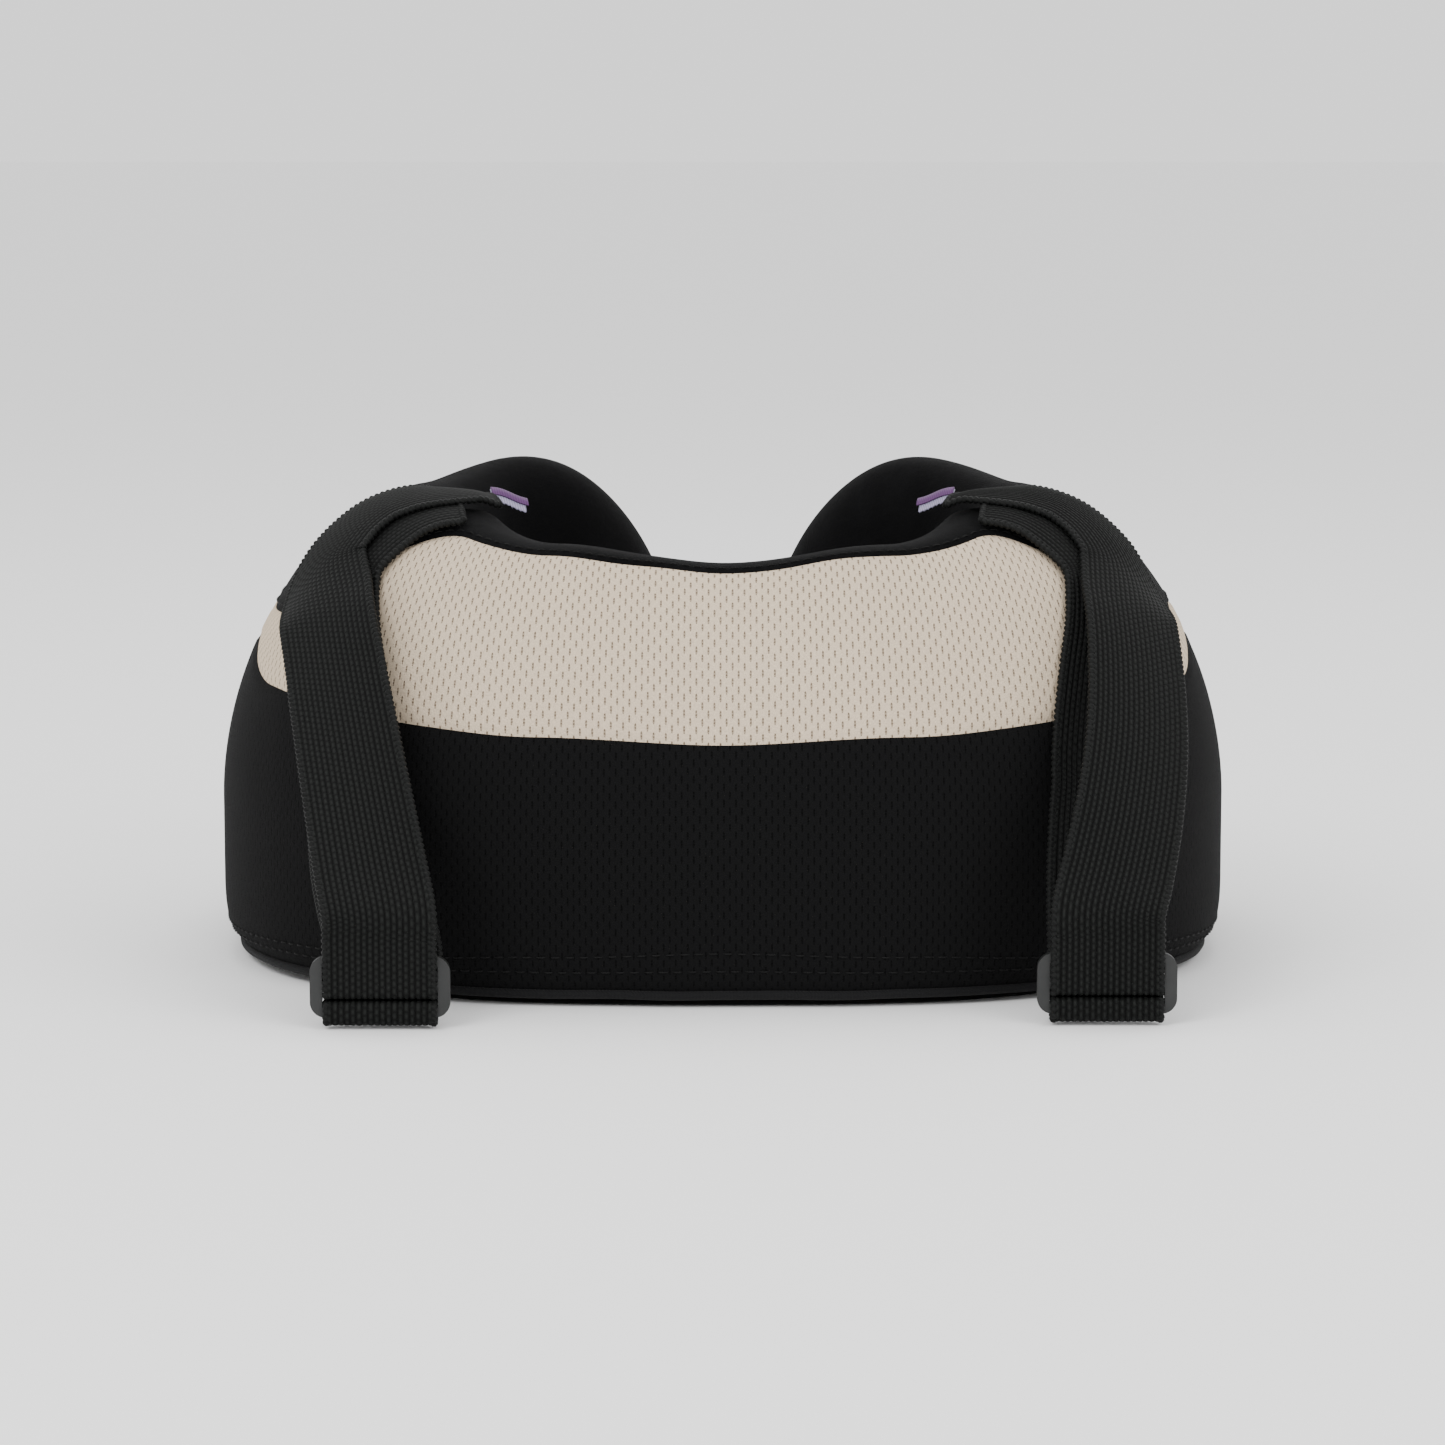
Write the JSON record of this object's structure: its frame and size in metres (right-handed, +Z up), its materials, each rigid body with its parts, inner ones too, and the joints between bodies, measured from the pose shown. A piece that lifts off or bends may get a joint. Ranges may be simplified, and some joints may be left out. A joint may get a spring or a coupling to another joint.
{
  "type": "shiatsu neck massager",
  "caption": "U-shaped padded neck massager with a two-tone mesh back, velour top, hanging webbing strap loops and kneading rotor nodes behind the nape.",
  "frame": {"origin": "centre of the bounding box in x and y, on the surface the cushion rests on", "axes": "+Z up, +Y from the nape towards the open ends of the horns, +X along the longest extent"},
  "size_m": [0.317, 0.3045, 0.1485],
  "materials": {
    "gear_plastic": "moulded acetal",
    "steel": "turned and zinc plated",
    "bronze": "sintered bronze",
    "ball_plastic": "satin moulded",
    "housing_plastic": "fine moulded texture",
    "motor_steel": "drawn and plated",
    "motor_cap": "moulded",
    "cell_wrap": "shrink wrap",
    "bezel_plastic": "polished moulding",
    "button_plastic": "satin moulded",
    "board": "solder mask",
    "switch_plastic": "moulded",
    "socket_shell": "stamped and plated",
    "lens": "clear moulded",
    "lead_insulation": "matt insulation",
    "webbing": "woven ribbed webbing",
    "glide_plastic": "satin moulded acetal",
    "tag_fabric": "woven satin label",
    "zip": "woven tape with moulded coil",
    "zip_metal": "painted die casting",
    "foam": "moulded slow-recovery foam",
    "velour": "short pile velour",
    "mesh_black": "knitted air mesh",
    "mesh_beige": "knitted air mesh",
    "base_fabric": "plain woven",
    "piping": "corded piping"
  },
  "bodies": {
    "cushion": {"gearbox_screws": "steel", "motor_screws": "steel", "worm_bushings": "bronze", "output_bushings": "bronze", "gearbox_rear_housing": "housing_plastic", "gearbox_front_cover": "housing_plastic", "battery_tray": "housing_plastic", "battery_lid": "housing_plastic", "control_housing": "housing_plastic", "motor_can": "motor_steel", "motor_end_cap": "motor_cap", "battery_cells": "cell_wrap", "control_bezel": "bezel_plastic", "control_board": "board", "tact_switches": "switch_plastic", "charge_socket": "socket_shell", "status_lens": "lens", "battery_lead": "lead_insulation", "motor_lead": "lead_insulation", "strap_sewn_end_left": "webbing", "strap_sewn_end_right": "webbing", "strap_seam_end_left": "webbing", "strap_seam_end_right": "webbing", "strap_tag_left": "tag_fabric", "strap_tag_right": "tag_fabric", "zip_chain": "zip", "foam_core": "foam", "cover_top_panel": "velour", "cover_lower_back_panel": "mesh_black", "cover_neck_window": "mesh_black", "cover_upper_back_panel": "mesh_beige", "cover_base_panel": "base_fabric", "base_piping": "piping"},
    "worm": {"worm": "steel", "worm_shaft": "steel"},
    "button_power_body": {"button_power": "button_plastic"},
    "button_mode_body": {"button_mode": "button_plastic"},
    "button_direction_body": {"button_direction": "button_plastic"},
    "zip_slider_body": {"zip_slider": "zip_metal"},
    "rotor_left": {"worm_wheel_left": "gear_plastic", "output_shaft_left": "steel", "rotor_plate_left": "gear_plastic", "rotor_screw_left": "steel", "massage_ball_left_outer": "ball_plastic", "massage_ball_left_inner": "ball_plastic"},
    "strap_left": {"strap_loop_left": "webbing", "strap_glide_left": "glide_plastic"},
    "rotor_right": {"worm_wheel_right": "gear_plastic", "output_shaft_right": "steel", "rotor_plate_right": "gear_plastic", "rotor_screw_right": "steel", "massage_ball_right_outer": "ball_plastic", "massage_ball_right_inner": "ball_plastic"},
    "strap_right": {"strap_loop_right": "webbing", "strap_glide_right": "glide_plastic"}
  },
  "joints": [
    {"name": "rotor_left_spin", "type": "hinge", "parent": "cushion", "child": "rotor_left", "pos_m": [-0.031, -0.084, 0.066], "axis": [0, 1, 0], "continuous": true},
    {"name": "rotor_right_spin", "type": "hinge", "parent": "cushion", "child": "rotor_right", "pos_m": [0.031, -0.084, 0.066], "axis": [0, 1, 0], "continuous": true},
    {"name": "worm_spin", "type": "hinge", "parent": "cushion", "child": "worm", "pos_m": [0, -0.084, 0.066], "axis": [0, 0, 1], "continuous": true},
    {"name": "button_power_press", "type": "slide", "parent": "cushion", "child": "button_power_body", "axis": [-0.3907, -0.9205, 0], "range_m": [0, 0.0008], "stiffness_N_per_m": 800, "springref_m": -0.0004},
    {"name": "button_mode_press", "type": "slide", "parent": "cushion", "child": "button_mode_body", "axis": [-0.3907, -0.9205, 0], "range_m": [0, 0.0008], "stiffness_N_per_m": 800, "springref_m": -0.0004},
    {"name": "button_direction_press", "type": "slide", "parent": "cushion", "child": "button_direction_body", "axis": [-0.3907, -0.9205, 0], "range_m": [0, 0.0008], "stiffness_N_per_m": 800, "springref_m": -0.0004},
    {"name": "zip_slide", "type": "slide", "parent": "cushion", "child": "zip_slider_body", "axis": [1, 0, 0], "range_m": [0, 0.126]},
    {"name": "strap_left_swing", "type": "hinge", "parent": "cushion", "child": "strap_left", "pos_m": [-0.11648, -0.07603, 0.11325], "axis": [-0.8182, 0.3386, -0.4647], "range_deg": [0, 90]},
    {"name": "strap_right_swing", "type": "hinge", "parent": "cushion", "child": "strap_right", "pos_m": [0.11811, -0.07551, 0.1132], "axis": [-0.8282, -0.3951, 0.3974], "range_deg": [0, 90]}
  ],
  "couplings": [
    {"joint": "rotor_right_spin", "follows": "rotor_left_spin", "ratio": -1},
    {"joint": "worm_spin", "follows": "rotor_left_spin", "ratio": 40}
  ]
}
